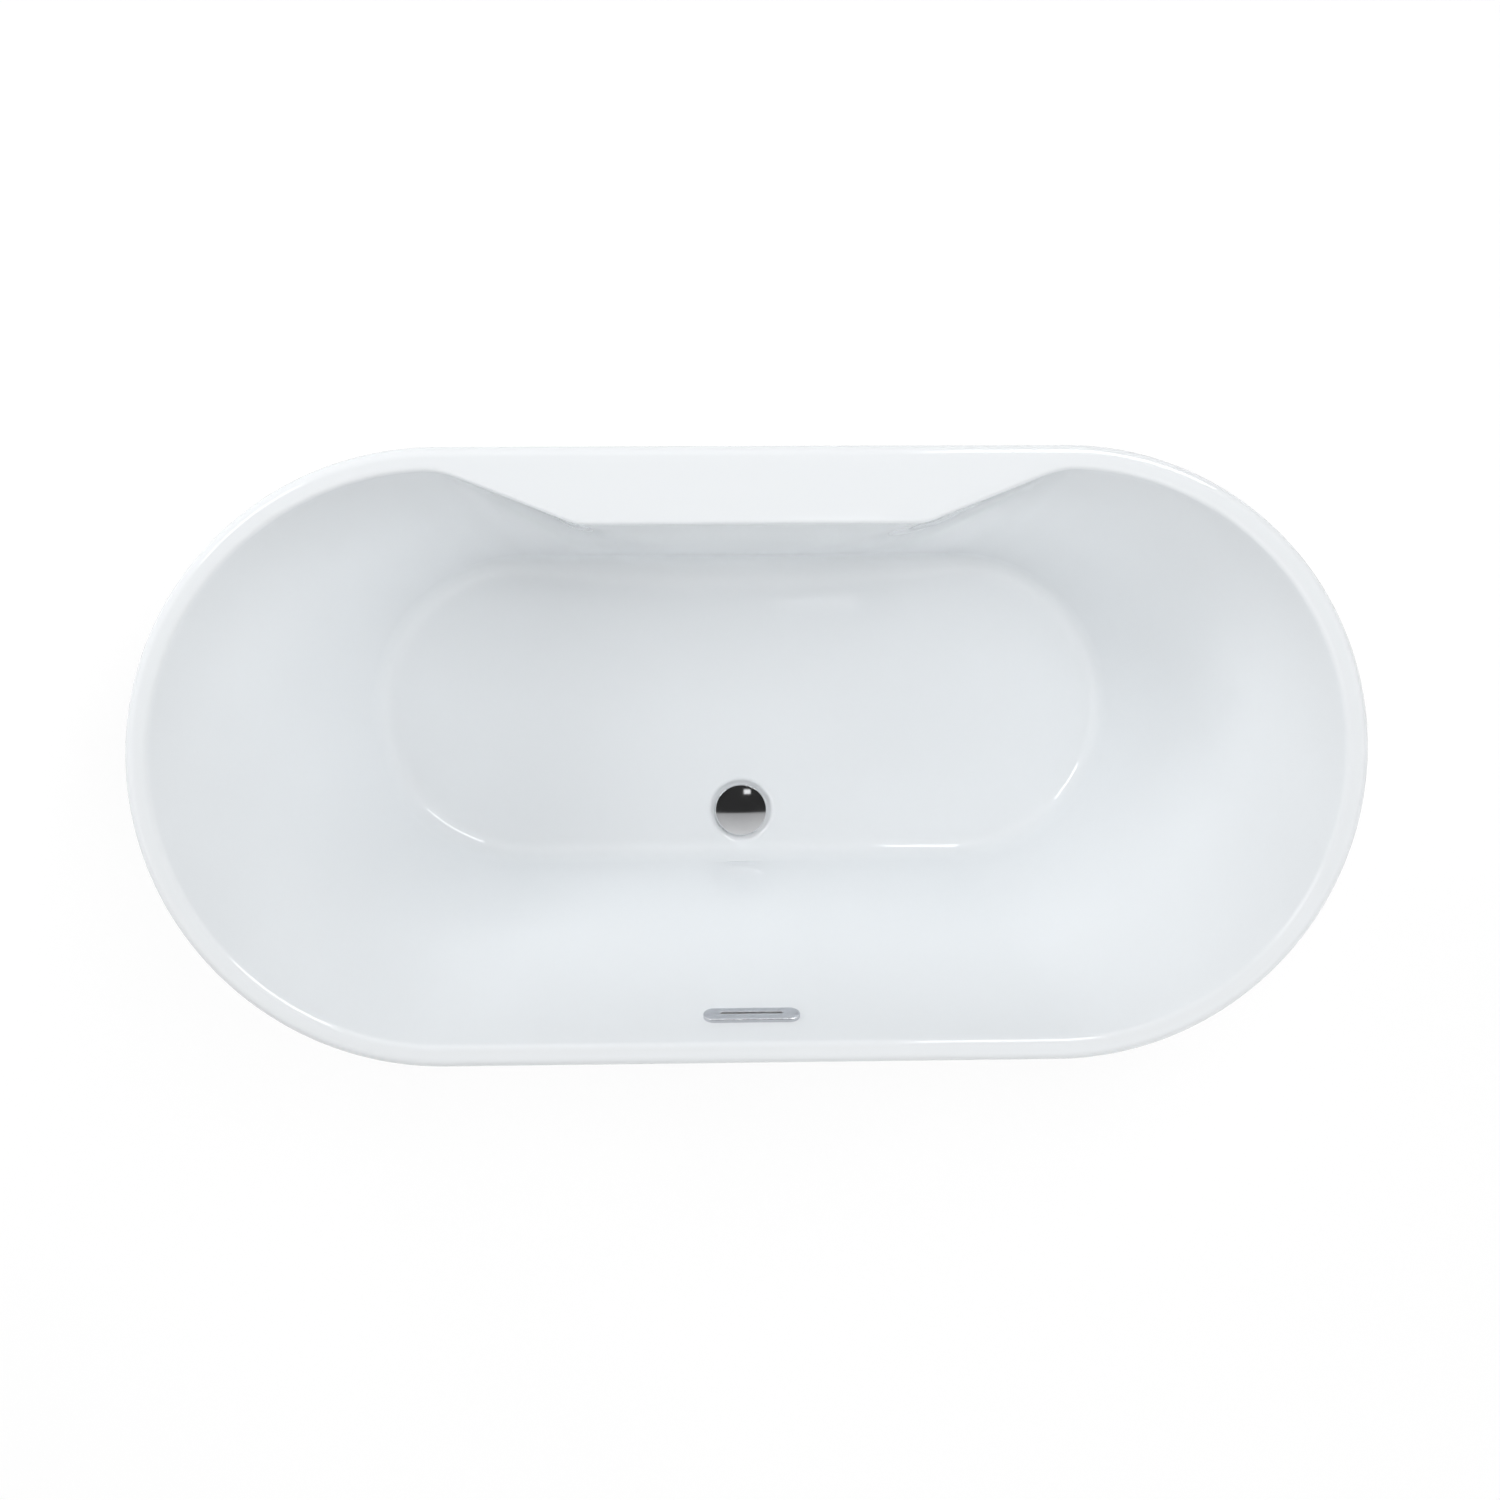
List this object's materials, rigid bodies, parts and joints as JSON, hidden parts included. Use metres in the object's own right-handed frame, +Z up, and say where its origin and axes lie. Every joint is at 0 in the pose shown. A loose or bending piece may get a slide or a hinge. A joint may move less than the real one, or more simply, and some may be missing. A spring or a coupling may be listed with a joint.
{
  "type": "freestanding bathtub",
  "caption": "Oval freestanding bathtub: one-piece acrylic well with a flat faucet deck, tapering skirt, click-clack drain, slotted overflow and levelling feet.",
  "frame": {"origin": "centre of the tub's footprint, on the floor", "axes": "+X along the tub's length, +Y towards the faucet deck side, +Z up"},
  "size_m": [1.5, 0.75, 0.58],
  "materials": {
    "white_acrylic": "high gloss",
    "timber": "raw board",
    "coated_steel": "powder coat",
    "zinc_steel": "zinc plated",
    "spring_steel": "drawn wire",
    "black_plastic": "moulded",
    "chrome": "polished",
    "brass": "turned",
    "black_rubber": "matte",
    "white_plastic": "moulded",
    "satin_chrome": "satin"
  },
  "bodies": {
    "tub": {"basin": "white_acrylic", "outer_skirt": "white_acrylic", "base_board": "timber", "deck_board": "timber", "rail_front": "coated_steel", "rail_back": "coated_steel", "rail_plugs": "black_plastic", "cross_left": "coated_steel", "cross_middle": "coated_steel", "cross_right": "coated_steel", "end_plates": "coated_steel", "block_screws": "zinc_steel", "board_screws": "zinc_steel", "weld_nuts": "zinc_steel", "lock_nuts": "zinc_steel", "drain_flange": "chrome", "flange_gasket": "black_rubber", "drain_washer": "black_rubber", "drain_body": "white_plastic", "tailpiece": "white_plastic", "slip_washer": "black_rubber", "slip_nut": "white_plastic", "cartridge": "brass", "stopper_spring": "spring_steel", "overflow_plate": "satin_chrome", "clamp_ring": "white_plastic", "clamp_screws": "zinc_steel", "overflow_gasket": "black_rubber", "overflow_duct": "white_plastic", "overflow_pipe": "white_plastic", "lower_pipe_nut": "white_plastic", "upper_pipe_nut": "white_plastic", "skirt_block_1": "timber", "skirt_block_2": "timber", "skirt_block_3": "timber", "skirt_block_4": "timber"},
    "stopper": {"stopper_cap": "chrome", "stopper_seal": "black_rubber", "plunger": "brass"},
    "pad_1": {"foot_pad_1": "black_plastic"},
    "stem_1": {"foot_stem_1": "zinc_steel"},
    "pad_2": {"foot_pad_2": "black_plastic"},
    "stem_2": {"foot_stem_2": "zinc_steel"},
    "pad_3": {"foot_pad_3": "black_plastic"},
    "stem_3": {"foot_stem_3": "zinc_steel"},
    "pad_4": {"foot_pad_4": "black_plastic"},
    "stem_4": {"foot_stem_4": "zinc_steel"},
    "pad_5": {"foot_pad_5": "black_plastic"},
    "stem_5": {"foot_stem_5": "zinc_steel"}
  },
  "joints": [
    {"name": "stopper_lift", "type": "slide", "parent": "tub", "child": "stopper", "axis": [0, 0, 1], "range_m": [0, 0.008], "deforming": ["stopper_spring"]},
    {"name": "foot_height_1", "type": "slide", "parent": "tub", "child": "pad_1", "axis": [0, 0, -1], "range_m": [-0.007, 0.007]},
    {"name": "stem_turn_1", "type": "hinge", "parent": "pad_1", "child": "stem_1", "pos_m": [-0.33, -0.215, 0.02], "axis": [0, 0, -1], "range_deg": [-1441, 1441]},
    {"name": "foot_height_2", "type": "slide", "parent": "tub", "child": "pad_2", "axis": [0, 0, -1], "range_m": [-0.007, 0.007]},
    {"name": "stem_turn_2", "type": "hinge", "parent": "pad_2", "child": "stem_2", "pos_m": [-0.33, 0.215, 0.02], "axis": [0, 0, -1], "range_deg": [-1441, 1441]},
    {"name": "foot_height_3", "type": "slide", "parent": "tub", "child": "pad_3", "axis": [0, 0, -1], "range_m": [-0.007, 0.007]},
    {"name": "stem_turn_3", "type": "hinge", "parent": "pad_3", "child": "stem_3", "pos_m": [0.33, -0.215, 0.02], "axis": [0, 0, -1], "range_deg": [-1441, 1441]},
    {"name": "foot_height_4", "type": "slide", "parent": "tub", "child": "pad_4", "axis": [0, 0, -1], "range_m": [-0.007, 0.007]},
    {"name": "stem_turn_4", "type": "hinge", "parent": "pad_4", "child": "stem_4", "pos_m": [0.33, 0.215, 0.02], "axis": [0, 0, -1], "range_deg": [-1441, 1441]},
    {"name": "foot_height_5", "type": "slide", "parent": "tub", "child": "pad_5", "axis": [0, 0, -1], "range_m": [-0.007, 0.007]},
    {"name": "stem_turn_5", "type": "hinge", "parent": "pad_5", "child": "stem_5", "pos_m": [0, 0.04, 0.02], "axis": [0, 0, -1], "range_deg": [-1441, 1441]}
  ],
  "couplings": [
    {"joint": "stem_turn_1", "follows": "foot_height_1", "rad_per_m": 3590.4},
    {"joint": "stem_turn_2", "follows": "foot_height_2", "rad_per_m": 3590.4},
    {"joint": "stem_turn_3", "follows": "foot_height_3", "rad_per_m": 3590.4},
    {"joint": "stem_turn_4", "follows": "foot_height_4", "rad_per_m": 3590.4},
    {"joint": "stem_turn_5", "follows": "foot_height_5", "rad_per_m": 3590.4}
  ]
}
